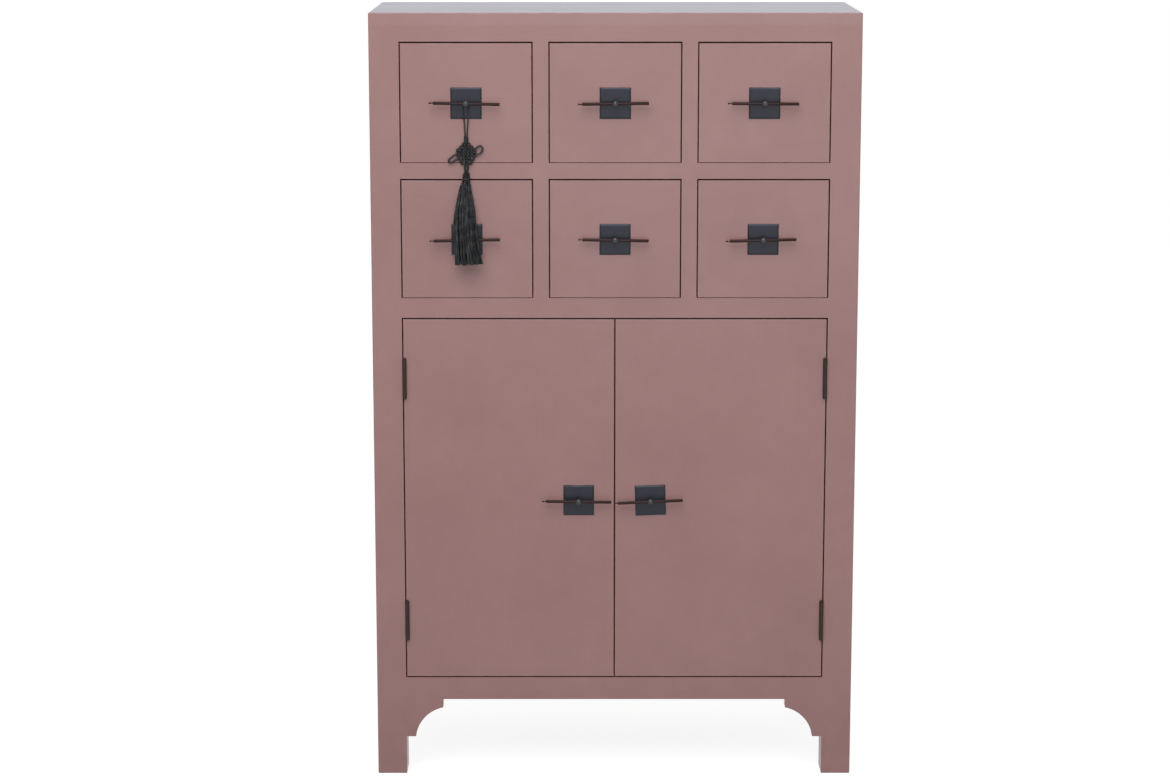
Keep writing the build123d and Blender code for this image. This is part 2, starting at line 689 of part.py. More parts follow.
# Tassel: a bound head and a fluted skirt of strands that leans out over the pull below
head_top = knot_bottom - tail_length
skirt_top = head_top - head_height
skirt_bottom = skirt_top - skirt_length
head_y = cord_y - head_radius + tail_radius
pull_below_z = middle((lower_opening_z[0] + drawer_bottom_gap, lower_opening_z[1] - drawer_top_gap))
rest_z = pull_below_z + post_head_radius
rest_back = front_y - pull_reach - skirt_clearance
skirt_sections = (
    (skirt_top, head_y, skirt_neck),
    (skirt_top - skirt_shoulder_drop, head_y, skirt_shoulder),
    (rest_z + skirt_lift_height, rest_back, skirt_lift),
    (rest_z, rest_back, skirt_rest),
    (skirt_bottom, rest_back, skirt_hem),
)
with BuildPart() as tassel:
    for section_z, from_y, (half_x, half_y, lean, shift_x) in skirt_sections:
        with BuildSketch(Plane.XY.offset(section_z)):
            with BuildLine():
                outline = []
                for corner in range(2 * skirt_flutes):
                    turn = corner * pi / skirt_flutes
                    draw_in = 1 - flute_depth * (corner % 2)
                    outline.append(
                        (
                            tassel_x + shift_x + draw_in * half_x * cos(turn),
                            from_y - lean + draw_in * half_y * sin(turn),
                        )
                    )
                Polyline(*outline, close=True)
            make_face()
    loft(ruled=True)
    with BuildSketch(Plane.XY.offset(skirt_top)):
        with Locations((tassel_x, head_y)):
            RegularPolygon(head_radius, turned_sides)
    extrude(amount=head_height)
save(tassel, "tassel_skirt")
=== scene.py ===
import math
import random

import bmesh
import bpy
from mathutils import Matrix, Vector


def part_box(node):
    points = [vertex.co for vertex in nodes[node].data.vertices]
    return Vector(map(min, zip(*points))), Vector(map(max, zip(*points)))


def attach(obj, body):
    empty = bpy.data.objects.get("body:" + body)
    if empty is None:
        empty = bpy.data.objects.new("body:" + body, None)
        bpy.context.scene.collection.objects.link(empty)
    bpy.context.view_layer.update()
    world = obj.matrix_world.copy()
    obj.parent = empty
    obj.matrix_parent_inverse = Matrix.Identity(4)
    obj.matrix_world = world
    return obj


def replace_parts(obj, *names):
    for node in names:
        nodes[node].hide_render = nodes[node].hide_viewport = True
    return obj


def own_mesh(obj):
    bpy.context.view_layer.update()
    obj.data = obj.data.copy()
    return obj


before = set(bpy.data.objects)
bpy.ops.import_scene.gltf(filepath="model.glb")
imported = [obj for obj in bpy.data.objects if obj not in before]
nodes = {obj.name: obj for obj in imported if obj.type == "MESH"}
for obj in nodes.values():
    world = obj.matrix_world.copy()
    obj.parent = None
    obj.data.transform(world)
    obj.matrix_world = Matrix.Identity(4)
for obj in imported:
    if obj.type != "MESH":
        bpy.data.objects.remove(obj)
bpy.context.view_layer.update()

# Camera, floor and light
# The cabinet stands on a plain pale floor under one large soft light and a weak fill, seen from the
# front and a little from above. Floor and air show white to the camera, and the floor keeps the shadow.
scene = bpy.context.scene
scene.view_settings.view_transform = "Standard"

camera = bpy.data.objects.new("camera", bpy.data.cameras.new("camera"))
camera.data.sensor_width = 36.0
camera.data.lens = 87.63
camera.location = (-0.0408, -3.7696, 1.2145)
camera.rotation_euler = (math.radians(79.236), 0.0, math.radians(-0.032))
scene.collection.objects.link(camera)
scene.camera = camera


def put(tree, kind, values=None, **settings):
    """A new shader node. Its values are plain ones, or the outputs of other nodes to link to."""
    node = tree.nodes.new("ShaderNode" + kind)
    for key, value in settings.items():
        setattr(node, key, value)
    for key, value in (values or {}).items():
        if isinstance(value, bpy.types.NodeSocket):
            tree.links.new(value, node.inputs[key])
        else:
            node.inputs[key].default_value = value
    return node


def sum_up(tree, operation, first, second=0.0, third=0.0, clamp=False):
    """One step of arithmetic on two values, or on three for a product with something added."""
    values = {0: first, 1: second, 2: third}
    return put(tree, "Math", values, operation=operation, use_clamp=clamp).outputs[0]


def seen_directly(tree):
    """One for rays from the camera, off gloss or through clear pieces, and nought for the rest."""
    path = put(tree, "LightPath").outputs
    mirrored = sum_up(tree, "ADD", path["Is Glossy Ray"], path["Is Transmission Ray"])
    return sum_up(tree, "ADD", path["Is Camera Ray"], mirrored, clamp=True)


floor_colour = (0.32, 0.32, 0.32, 1.0)
floor_dark = 0.97
floor_pale = 1.03
floor_reach = 40.0
floor_lift = 0.86
floor_material = bpy.data.materials.new("pale_floor")
floor_material.use_nodes = True
floor_tree = floor_material.node_tree
floor_tree.nodes.clear()
floor_speck = put(floor_tree, "TexNoise", {"Scale": 40.0, "Detail": 3.0}).outputs[0]
floor_tone = put(floor_tree, "MapRange", {0: floor_speck, 3: floor_dark, 4: floor_pale}).outputs[0]
floor_parts = {0: 1.0, 6: floor_colour, 7: floor_tone}
floor_paint = put(floor_tree, "Mix", floor_parts, data_type="RGBA", blend_type="MULTIPLY")
floor_matt = put(floor_tree, "BsdfDiffuse", {"Color": floor_paint.outputs[2]})
floor_strength = sum_up(floor_tree, "MULTIPLY", seen_directly(floor_tree), floor_lift)
floor_glow = put(floor_tree, "Emission", {"Strength": floor_strength})
floor_sum = put(floor_tree, "AddShader", {0: floor_matt.outputs[0], 1: floor_glow.outputs[0]})
put(floor_tree, "OutputMaterial", {"Surface": floor_sum.outputs[0]})

floor_bm = bmesh.new()
bmesh.ops.create_grid(floor_bm, x_segments=2, y_segments=2, size=floor_reach)
floor_mesh = bpy.data.meshes.new("floor")
floor_bm.to_mesh(floor_mesh)
floor_bm.free()
floor_mesh.materials.append(floor_material)
floor = bpy.data.objects.new("floor", floor_mesh)
scene.collection.objects.link(floor)

air_strength = 0.46
air = bpy.data.worlds.new("white_air")
air.use_nodes = True
air_tree = air.node_tree
air_tree.nodes.clear()
air_rest = sum_up(air_tree, "MULTIPLY", seen_directly(air_tree), 1.0 - air_strength)
air_level = sum_up(air_tree, "ADD", air_rest, air_strength)
air_glow = put(air_tree, "Background", {"Color": (1.0, 1.0, 1.0, 1.0), "Strength": air_level})
put(air_tree, "OutputWorld", {"Surface": air_glow.outputs[0]})
scene.world = air

for lamp_name, lamp_place, lamp_target, lamp_width, lamp_height, lamp_power in (
    ("soft_light", (-0.3, -2.2, 2.8), (0.0, 0.0, 0.8), 2.2, 2.2, 60.0),
    ("weak_fill", (0.3, -3.9, 0.55), (0.3, 0.0, 0.55), 1.7, 0.9, 9.5),
):
    lamp = bpy.data.objects.new(lamp_name, bpy.data.lights.new(lamp_name, "AREA"))
    lamp.data.shape = "RECTANGLE"
    lamp.data.size = lamp_width
    lamp.data.size_y = lamp_height
    lamp.data.energy = lamp_power
    lamp.location = lamp_place
    lamp.rotation_euler = (Vector(lamp_target) - Vector(lamp_place)).to_track_quat("-Z", "Y").to_euler()
    scene.collection.objects.link(lamp)

# Painted carcass
# Legs, rails, top, side panels, brackets, dividers, cupboard floor and shelf are joined boards under
# one coat of dusty rose lacquer. It is brushed along each board and rubbed at the outer edges. Painted
# shade darkens it towards the floor, and the top is pale with dust and a painted bluish reflection.
mm = 0.001
rose_light = (0.352, 0.190, 0.181, 1.0)
rose_deep = (0.318, 0.167, 0.159, 1.0)
rose_rubbed = (0.430, 0.275, 0.255, 1.0)
# The colour of the painted shade near the floor.
rose_floor_shade = (0.180, 0.095, 0.092, 1.0)
# Bluish tint of the sheen on the top: dust, and a painted reflection of bluish light.
dust_and_reflection_tint = (0.62, 0.78, 1.0, 1.0)
along_x = (0.05, 1.0, 1.0)
along_z = (1.0, 1.0, 0.05)
rub_spots = 55.0
rub_spot_range = (0.38, 0.72)
rub_reach_range = (0.15, 1.5)
rub_share = 0.55
stroke_spots = 620.0
stroke_share = 0.16
cloud_spots = 7.5
cloud_share = 0.58
patch_spots = 42.0
patch_share = 0.26
stipple_spots = 1700.0
film_range = (0.36, 0.64)
film_roughness = (0.44, 0.54)
film_depth = 0.05 * mm
stroke_relief = 0.7
stipple_relief = 0.3
# Painted shade: the lacquer darkens towards the floor, up to this height.
floor_shade_height = 0.15
floor_shade_share = 0.5
carcass_rub = 2.0 * mm


def node_group(name, inputs, outputs):
    """A shader node group with named inputs and outputs, given with the tree and its two ends."""
    tree = bpy.data.node_groups.new(name, "ShaderNodeTree")
    for label, kind in inputs.items():
        tree.interface.new_socket(label, in_out="INPUT", socket_type="NodeSocket" + kind)
    for label, kind in outputs.items():
        tree.interface.new_socket(label, in_out="OUTPUT", socket_type="NodeSocket" + kind)
    return tree, tree.nodes.new("NodeGroupInput").outputs, tree.nodes.new("NodeGroupOutput").inputs


def place_group(tree, group, values):
    """The outputs of a node group that is placed in a tree with its own values."""
    return put(tree, "Group", values, node_tree=group).outputs


def place_sum(tree, operation, first, second):
    """One step of arithmetic on two places."""
    return put(tree, "VectorMath", {0: first, 1: second}, operation=operation).outputs[0]


def mingle(tree, *layers):
    """Layers added up. Each is a value and the share it has."""
    total = 0.0
    for value, share in layers:
        total = sum_up(tree, "MULTIPLY_ADD", value, share, total)
    return total


def blend_colours(tree, share, first, second):
    """The first colour where the share is nought and the second where it is one."""
    return put(tree, "Mix", {0: share, 6: first, 7: second}, data_type="RGBA").outputs[2]


def spread(tree, value, low, high, to_low=0.0, to_high=1.0):
    """A value moved from one range to another, and held inside it."""
    return put(tree, "MapRange", {0: value, 1: low, 2: high, 3: to_low, 4: to_high}).outputs[0]


def speckle(tree, place, scale, detail=2.0):
    """Noise of so many spots a metre, from nought to one."""
    return put(tree, "TexNoise", {"Vector": place, "Scale": scale, "Detail": detail}).outputs[0]


def object_place(tree):
    """Where a point is on its piece."""
    return put(tree, "TexCoord").outputs["Object"]


edge_rub, ends, out = node_group(
    "edge_rub", {"Low": "Vector", "High": "Vector", "Width": "Float"}, {"Rub": "Float"}
)
place = object_place(edge_rub)
from_low = place_sum(edge_rub, "SUBTRACT", place, ends["Low"])
from_high = place_sum(edge_rub, "SUBTRACT", ends["High"], place)
depth = put(edge_rub, "SeparateXYZ", {0: place_sum(edge_rub, "MINIMUM", from_low, from_high)}).outputs
# The middle one of the three depths tells how far the nearest edge is.
lesser = sum_up(edge_rub, "MINIMUM", depth[0], depth[1])
greater = sum_up(edge_rub, "MAXIMUM", depth[0], depth[1])
to_edge = sum_up(edge_rub, "MAXIMUM", lesser, sum_up(edge_rub, "MINIMUM", greater, depth[2]))
patchy = spread(
    edge_rub, speckle(edge_rub, place, rub_spots, detail=4.0), *rub_spot_range, *rub_reach_range
)
rub_reach = sum_up(edge_rub, "MULTIPLY", ends["Width"], patchy)
edge_rub.links.new(spread(edge_rub, to_edge, 0.0, rub_reach, 1.0, 0.0), out["Rub"])

paint_film, ends, out = node_group(
    "paint_film",
    {"Along": "Vector", "Light": "Color", "Deep": "Color", "Floor shade": "Color"},
    {"Colour": "Color", "Roughness": "Float", "Height": "Float"},
)
place = object_place(paint_film)
above_floor = put(paint_film, "SeparateXYZ", {0: place}).outputs[2]
brushed = place_sum(paint_film, "MULTIPLY", place, ends["Along"])
strokes = speckle(paint_film, brushed, stroke_spots, detail=4.0)
clouds = speckle(paint_film, place, cloud_spots, detail=3.0)
patches = speckle(paint_film, place, patch_spots, detail=3.0)
stipple = speckle(paint_film, place, stipple_spots, detail=1.0)
uneven = mingle(paint_film, (patches, patch_share), (clouds, cloud_share), (strokes, stroke_share))
clean = blend_colours(paint_film, spread(paint_film, uneven, *film_range), ends["Light"], ends["Deep"])
# Painted shade: patchy darkening of the lacquer towards the floor.
low_down = spread(paint_film, above_floor, 0.0, floor_shade_height, floor_shade_share, 0.0)
painted_floor_shade = sum_up(paint_film, "MULTIPLY", low_down, patches)
film_relief = mingle(paint_film, (stipple, stipple_relief), (strokes, stroke_relief))
paint_film.links.new(blend_colours(paint_film, painted_floor_shade, clean, ends["Floor shade"]), out["Colour"])
paint_film.links.new(spread(paint_film, uneven, *film_range, *film_roughness), out["Roughness"])
paint_film.links.new(film_relief, out["Height"])


def new_material(name):
    """An empty material with its tree and its main shader."""
    material = bpy.data.materials.new(name)
    material.use_nodes = True
    return material, material.node_tree, material.node_tree.nodes["Principled BSDF"]


def dress(tree, surface, colour, roughness, height, depth, strength):
    """Gives a shader its colour, its roughness and relief of a given depth."""
    relief = put(tree, "Bump", {"Height": height, "Distance": depth, "Strength": strength})
    tree.links.new(colour, surface.inputs["Base Color"])
    tree.links.new(roughness, surface.inputs["Roughness"])
    tree.links.new(relief.outputs[0], surface.inputs["Normal"])


def lacquered(name, low, high, along, rub_width):
    """Rose lacquer on a board between two corners, brushed along it and rubbed at its edges."""
    material, tree, surface = new_material(name)
    tones = {"Along": along, "Light": rose_light, "Deep": rose_deep, "Floor shade": rose_floor_shade}
    film = place_group(tree, paint_film, tones)
    rub = place_group(tree, edge_rub, {"Low": low, "High": high, "Width": rub_width})["Rub"]
    colour = blend_colours(tree, sum_up(tree, "MULTIPLY", rub, rub_share), film["Colour"], rose_rubbed)
    dress(tree, surface, colour, film["Roughness"], film["Height"], depth=film_depth, strength=0.5)
    surface.inputs["Specular IOR Level"].default_value = 0.35
    surface.inputs["Coat Weight"].default_value = 0.55
    surface.inputs["Coat Roughness"].default_value = 0.27
    return material


def finish_nodes(material, *names):
    """Puts a material on CAD nodes."""
    for name in names:
        for index in range(len(nodes[name].material_slots)):
            nodes[name].material_slots[index].material = material


carcass_low, carcass_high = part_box("rear_leg_left")[0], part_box("top_panel")[1]
carcass_low = Vector((carcass_low.x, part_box("front_leg_left")[0].y, carcass_low.z))
finish_nodes(
    lacquered("lacquer_upright", carcass_low, carcass_high, along_z, carcass_rub),
    *("front_leg_left", "front_leg_right", "rear_leg_left", "rear_leg_right"),
    *("side_panel_left", "side_panel_right", "drawer_dividers"),
)
finish_nodes(
    lacquered("lacquer_level", carcass_low, carcass_high, along_x, carcass_rub),
    *("top_rail", "drawer_rail", "waist_rail", "bottom_rail"),
    *("bracket_left", "bracket_right", "cupboard_floor", "cupboard_shelf"),
)
# The top's lacquer has dust and a painted reflection: its bluish sheen stands in for bluish light off the
# top.
dust_and_reflection_lacquer = lacquered("lacquer_top", carcass_low, carcass_high, along_x, carcass_rub)
dust_and_reflection_surface = dust_and_reflection_lacquer.node_tree.nodes["Principled BSDF"]
dust_and_reflection_surface.inputs["Sheen Weight"].default_value = 0.75
dust_and_reflection_surface.inputs["Coat Weight"].default_value = 0.85
dust_and_reflection_surface.inputs["Sheen Roughness"].default_value = 0.25
dust_and_reflection_surface.inputs["Sheen Tint"].default_value = dust_and_reflection_tint
finish_nodes(dust_and_reflection_lacquer, "top_panel")

# Bare boards inside
# The decks that the drawers run on and the guide strips beside them are planed pale softwood, left
# bare. Grain runs along each board, with darker late wood, fine fibres and a little dirt.
pine_early = (0.560, 0.385, 0.222, 1.0)
pine_late = (0.395, 0.232, 0.112, 1.0)
pine_ring = 6.5 * mm
wood_dirt = (0.180, 0.110, 0.065, 1.0)
grain_stretch = (0.06, 1.0, 1.0)
heart_place = (0.0, 0.21, -0.17)
heart_squash = (0.0, 1.0, 0.8)
wander_spots = 14.0
wander_rings = 5.0
late_wood_power = 2.5
ring_share = 0.55
fibre_spots = 1100.0
fibre_share = 0.45
fibre_range = (0.3, 0.7)
figure_range = (0.12, 0.80)
stain_spots = 11.0
stain_range = (0.52, 0.80)
stain_share = 0.22
wood_roughness = (0.55, 0.75)
wood_depth = 0.12 * mm

timber, ends, out = node_group(
    "timber",
    {"Grain": "Vector", "Ring": "Float", "Early": "Color", "Late": "Color"},
    {"Colour": "Color", "Roughness": "Float", "Height": "Float"},
)
grain = ends["Grain"]
drawn_out = place_sum(timber, "MULTIPLY", grain, grain_stretch)
from_heart = place_sum(timber, "SUBTRACT", grain, heart_place)
across = place_sum(timber, "MULTIPLY", from_heart, heart_squash)
radius = put(timber, "VectorMath", {0: across}, operation="LENGTH").outputs["Value"]
wander = sum_up(timber, "MULTIPLY", speckle(timber, drawn_out, wander_spots, detail=3.0), wander_rings)
turns = sum_up(timber, "ADD", sum_up(timber, "DIVIDE", radius, ends["Ring"]), wander)
ring = sum_up(timber, "POWER", sum_up(timber, "FRACT", turns), late_wood_power)
fibre = speckle(timber, drawn_out, fibre_spots, detail=3.0)
stain = spread(timber, speckle(timber, grain, stain_spots, detail=3.0), *stain_range, 0.0, stain_share)
figure = mingle(timber, (fibre, fibre_share), (ring, ring_share))
wood = blend_colours(timber, spread(timber, figure, *figure_range), ends["Early"], ends["Late"])
timber.links.new(blend_colours(timber, stain, wood, wood_dirt), out["Colour"])
timber.links.new(spread(timber, fibre, *fibre_range, *wood_roughness), out["Roughness"])
timber.links.new(fibre, out["Height"])


def bare_timber(name, early, late, ring_width, grain_of):
    """Unpainted wood. grain_of gives the place with the grain along its first axis."""
    material, tree, surface = new_material(name)
    grain = grain_of(tree, put(tree, "SeparateXYZ", {0: object_place(tree)}).outputs)
    board = place_group(tree, timber, {"Grain": grain, "Ring": ring_width, "Early": early, "Late": late})
    face = (board["Colour"], board["Roughness"], board["Height"])
    dress(tree, surface, *face, depth=wood_depth, strength=0.6)
    return material


def grain_along_x(tree, place):
    """The place on a board whose grain runs across the cabinet."""
    return put(tree, "CombineXYZ", {0: place[0], 1: place[1], 2: place[2]}).outputs[0]


def grain_along_y(tree, place):
    """The place on a board whose grain runs from front to back."""
    return put(tree, "CombineXYZ", {0: place[1], 1: place[0], 2: place[2]}).outputs[0]


def grain_along_z(tree, place):
    """The place on a board whose grain is upright."""
    return put(tree, "CombineXYZ", {0: place[2], 1: place[0], 2: place[1]}).outputs[0]


finish_nodes(
    bare_timber("pine_deck", pine_early, pine_late, pine_ring, grain_along_x),
    *("upper_drawer_deck", "lower_drawer_deck"),
)
finish_nodes(bare_timber("pine_guide", pine_early, pine_late, pine_ring, grain_along_y), "drawer_guides")

# Back panel
# A thin board of brown wood with upright grain, left unpainted on both faces. It lies in rebates of the
# rear legs, where brads hold it.
brown_early = (0.300, 0.178, 0.098, 1.0)
brown_late = (0.170, 0.090, 0.045, 1.0)
brown_ring = 16.0 * mm
finish_nodes(bare_timber("brown_board", brown_early, brown_late, brown_ring, grain_along_z), "back_panel")

# Door hinges
# Two butt hinges a side, of dark bronzed steel. Their leaves are let into the leg and into the edge
# of the door, and each is held by three slotted screws with countersunk heads.
bronze_dark = (0.026, 0.015, 0.013, 1.0)
bronze_pale = (0.060, 0.040, 0.035, 1.0)
dimple_spots = 330.0
dimple_relief = 0.8
grit_spots = 2600.0
grit_share = 0.4
grit_relief = 0.2
bloom_spots = 70.0
bloom_share = 0.6
tarnish_range = (0.42, 0.72)
tarnish_share = 0.35
skin_range = (0.35, 0.7)
skin_roughness = (0.34, 0.48)
rim_roughness = 0.35
crease = math.radians(32.0)
leaf_screw = (2.6 * mm, 0.08 * mm, 0.7 * mm)
leaf_screw_rises = (-19.0 * mm, 0.0, 19.0 * mm)
leaf_screw_y = (-116.5 * mm, -111.5 * mm, -116.5 * mm)
leaf_screw_turns = (25.0, 95.0, 165.0)
hinge_heights = (212.0 * mm, 537.5 * mm)
frame_leaf_x = 275.3 * mm
door_leaf_x = 275.1 * mm

metal_skin, ends, out = node_group(
    "metal_skin",
    {"Dark": "Color", "Pale": "Color", "Edge": "Color", "Rub": "Float"},
    {"Colour": "Color", "Roughness": "Float", "Height": "Float"},
)
place = object_place(metal_skin)
dimples = speckle(metal_skin, place, dimple_spots, detail=2.0)
grit = speckle(metal_skin, place, grit_spots, detail=2.0)
bloom = speckle(metal_skin, place, bloom_spots, detail=4.0)
mottle = mingle(metal_skin, (grit, grit_share), (bloom, bloom_share))
tarnish = spread(metal_skin, mottle, *tarnish_range, 0.0, tarnish_share)
face_colour = blend_colours(metal_skin, tarnish, ends["Dark"], ends["Pale"])
face_gloss = spread(metal_skin, mottle, *skin_range, *skin_roughness)
gloss = sum_up(metal_skin, "MULTIPLY_ADD", ends["Rub"], rim_roughness, face_gloss)
metal_relief = mingle(metal_skin, (grit, grit_relief), (dimples, dimple_relief))
metal_skin.links.new(blend_colours(metal_skin, ends["Rub"], face_colour, ends["Edge"]), out["Colour"])
metal_skin.links.new(gloss, out["Roughness"])
metal_skin.links.new(metal_relief, out["Height"])


def metal(name, dark, pale, metallic, depth, rim=None):
    """Darkened metal with a mottled skin. rim gives a plate's corners and its edge's colour and width."""
    material, tree, surface = new_material(name)
    values = {"Dark": dark, "Pale": pale, "Edge": pale, "Rub": 0.0}
    if rim:
        low, high, values["Edge"], width = rim
        values["Rub"] = place_group(tree, edge_rub, {"Low": low, "High": high, "Width": width})["Rub"]
    skin = place_group(tree, metal_skin, values)
    surface.inputs["Metallic"].default_value = metallic
    dress(tree, surface, skin["Colour"], skin["Roughness"], skin["Height"], depth=depth, strength=0.5)
    return material


def piece(name, bm, material, body):
    """A finished mesh as a named piece that rides on a body and has the given material."""
    mesh = bpy.data.meshes.new(name)
    bm.to_mesh(mesh)
    bm.free()
    mesh.materials.append(material)
    mesh.shade_smooth()
    mesh.set_sharp_from_angle(angle=crease)
    made = bpy.data.objects.new(name, mesh)
    scene.collection.objects.link(made)
    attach(made, body)
    return made


def screw_head(bm, matrix, head_radius, head_height, slot_width):
    """A slotted screw head that stands on a face: two halves with the slot between them."""
    made = bmesh.ops.create_circle(bm, cap_ends=True, radius=head_radius, segments=24)["verts"]
    face = made[0].link_faces[0]
    cut = bmesh.ops.bisect_plane(
        bm,
        geom=made + list(face.edges) + [face],
        plane_co=(0.5 * slot_width, 0.0, 0.0),
        plane_no=(1.0, 0.0, 0.0),
        clear_inner=True,
    )["geom"]
    face = [part for part in cut if isinstance(part, bmesh.types.BMFace)][0]
    raised = bmesh.ops.extrude_face_region(bm, geom=[face], use_keep_orig=True)["geom"]
    top = [part for part in raised if isinstance(part, bmesh.types.BMVert)]
    bmesh.ops.translate(bm, verts=top, vec=(0.0, 0.0, head_height))
    half = list(face.verts) + top
    shell = {part for vert in half for part in vert.link_faces}
    rims = {edge for part in shell for edge in part.edges}
    other = bmesh.ops.duplicate(bm, geom=half + list(rims) + list(shell))["geom"]
    other_half = [part for part in other if isinstance(part, bmesh.types.BMVert)]
    bmesh.ops.rotate(bm, verts=other_half, cent=(0.0, 0.0, 0.0), matrix=Matrix.Rotation(math.pi, 3, "Z"))
    bmesh.ops.recalc_face_normals(bm, faces=list({f for v in half + other_half for f in v.link_faces}))
    bmesh.ops.transform(bm, verts=half + other_half, matrix=matrix)


bronze = metal("dark_bronze", bronze_dark, bronze_pale, metallic=0.55, depth=0.03 * mm)
finish_nodes(
    bronze, "hinge_frame_leaves", "hinge_pins", "door_left_hinge_leaves", "door_right_hinge_leaves"
)


def leaf_screws(name, body, leaf_x, side, facing):
    """The screws of one side's hinge leaves, whose faces look along x."""
    bm = bmesh.new()
    for middle_z in hinge_heights:
        for rise, y, slot_turn in zip(leaf_screw_rises, leaf_screw_y, leaf_screw_turns):
            turn = Matrix.Rotation(math.radians(slot_turn), 4, "Z")
            face = Matrix.Rotation(facing * 0.5 * math.pi, 4, "Y")
            stand = Matrix.Translation((side * leaf_x, y, middle_z + rise))
            screw_head(bm, stand @ face @ turn, *leaf_screw)
    piece(name, bm, bronze, body)


leaf_screws("hinge_screws_leg_left", "carcass", frame_leaf_x, -1, 1)
leaf_screws("hinge_screws_leg_right", "carcass", frame_leaf_x, 1, -1)
leaf_screws("hinge_screws_door_left", "door_left", door_leaf_x, -1, -1)
leaf_screws("hinge_screws_door_right", "door_right", door_leaf_x, 1, 1)

# Magnetic catches and strike plates
# Two brown plastic cases under the lower deck each hold a magnet between two steel strips. A plated
# strike on the back of each door meets one, and two slotted screws hold the strike.
catch_dark = (0.075, 0.043, 0.030, 1.0)
catch_pale = (0.105, 0.064, 0.046, 1.0)
catch_spots = 1300.0
catch_range = (0.35, 0.65)
catch_roughness = (0.42, 0.56)
catch_depth = 0.04 * mm
steel_dark = (0.400, 0.395, 0.385, 1.0)
steel_pale = (0.560, 0.555, 0.545, 1.0)
strike_screw = (2.0 * mm, 0.09 * mm, 0.6 * mm)
strike_screw_places = ((-9.5 * mm, 11.5), (9.5 * mm, 68.5))
strip_proud = 0.06 * mm
strip_height = 3.0 * mm
strip_gap = 5.0 * mm
strip_margin = 4.0 * mm
strip_corner = 0.6 * mm

catch_brown, tree, surface = new_material("catch_brown")
moulded = speckle(tree, object_place(tree), catch_spots, detail=2.0)
shade = blend_colours(tree, spread(tree, moulded, *catch_range), catch_dark, catch_pale)
gloss = spread(tree, moulded, *catch_range, *catch_roughness)
dress(tree, surface, shade, gloss, moulded, depth=catch_depth, strength=0.5)
finish_nodes(catch_brown, "door_catches")

steel = metal("plated_steel", steel_dark, steel_pale, metallic=0.9, depth=0.02 * mm)
catch_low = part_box("door_catches")[0]
strips = bmesh.new()
for side in ("left", "right"):
    strike_low, strike_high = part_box(f"door_{side}_strike_plate")
    finish_nodes(steel, f"door_{side}_strike_plate")
    strike_middle = 0.5 * (strike_low + strike_high)
    screws = bmesh.new()
    for offset, slot_turn in strike_screw_places:
        stand = Matrix.Translation((strike_middle.x + offset, strike_high.y, strike_middle.z))
        face = Matrix.Rotation(-0.5 * math.pi, 4, "X")
        turn = Matrix.Rotation(math.radians(slot_turn), 4, "Z")
        screw_head(screws, stand @ face @ turn, *strike_screw)
    piece(f"strike_screws_{side}", screws, steel, f"door_{side}")
    for step in (-0.5, 0.5):
        strip_size = (strike_high.x - strike_low.x - strip_margin, 2.0 * strip_proud, strip_height)
        strip_place = (strike_middle.x, catch_low.y, strike_middle.z + step * strip_gap)
        matrix = Matrix.Translation(strip_place) @ Matrix.Diagonal((*strip_size, 1.0))
        bmesh.ops.create_cube(strips, size=1.0, matrix=matrix)
bmesh.ops.bevel(
    strips,
    geom=[edge for edge in strips.edges if abs(edge.verts[0].co.y - edge.verts[1].co.y) > strip_proud],
    offset=strip_corner,
    affect="EDGES",
    segments=3,
    profile=0.5,
    material=-1,
)
piece("catch_strips", strips, steel, "carcass")

# Back brads
# Small steel brads with flat round heads, driven in by hand. They hold the back panel to the rear legs
# and to the back edges of the shelf and of the two decks.
back_brad_radius = 1.7 * mm
back_brad_taper = 0.7
back_brad_proud = 0.35 * mm
back_brad_inset = 6.0 * mm
back_brad_pitch = 74.0 * mm
back_brad_room = 0.4 * back_brad_pitch
panel_low, panel_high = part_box("back_panel")
brad_rises = [panel_low.z + back_brad_inset, panel_high.z - back_brad_inset]
for board in ("cupboard_shelf", "lower_drawer_deck", "upper_drawer_deck"):
    brad_rises.append(0.5 * (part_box(board)[0].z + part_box(board)[1].z))
across_length = panel_high.x - panel_low.x - 2.0 * back_brad_inset
upright_length = panel_high.z - panel_low.z - 2.0 * back_brad_inset
across_count = round(across_length / back_brad_pitch)
upright_count = round(upright_length / back_brad_pitch)
brad_spots = []
for index in range(across_count + 1):
    x = panel_low.x + back_brad_inset + index / across_count * across_length
    brad_spots += [(x, rise) for rise in brad_rises]
for index in range(1, upright_count):
    rise = brad_rises[0] + index / upright_count * (brad_rises[1] - brad_rises[0])
    if min(abs(rise - row) for row in brad_rises) > back_brad_room:
        brad_spots += [(panel_low.x + back_brad_inset, rise), (panel_high.x - back_brad_inset, rise)]
back_brads = bmesh.new()
for x, rise in brad_spots:
    bmesh.ops.create_cone(
        back_brads,
        cap_ends=True,
        segments=14,
        radius1=back_brad_radius,
        radius2=back_brad_taper * back_brad_radius,
        depth=2.0 * back_brad_proud,
        matrix=Matrix.Translation((x, panel_high.y, rise)) @ Matrix.Rotation(-0.5 * math.pi, 4, "X"),
    )
piece("back_brads", back_brads, steel, "carcass")

# Doors
# Each door is one flat board with softened edges, flush with the frame and lacquered all over with
# upright strokes.
panel_rub = 1.6 * mm
for side in ("left", "right"):
    name = f"door_{side}_panel"
    finish_nodes(lacquered(f"lacquer_door_{side}", *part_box(name), along_z, panel_rub), name)

# Drawers
# A lacquered front, flush with the frame, on a bare box. The sides sit in rebates of the front with
# the bottom in grooves, and fine brads hold the sides to the back.
box_side = 10.0 * mm
brad_radius = 0.9 * mm
brad_taper = 0.8
brad_proud = 0.12 * mm
brad_inset = 5.0 * mm
brad_start = 18.0 * mm
brad_margin = 24.0 * mm
brads_a_corner = 4


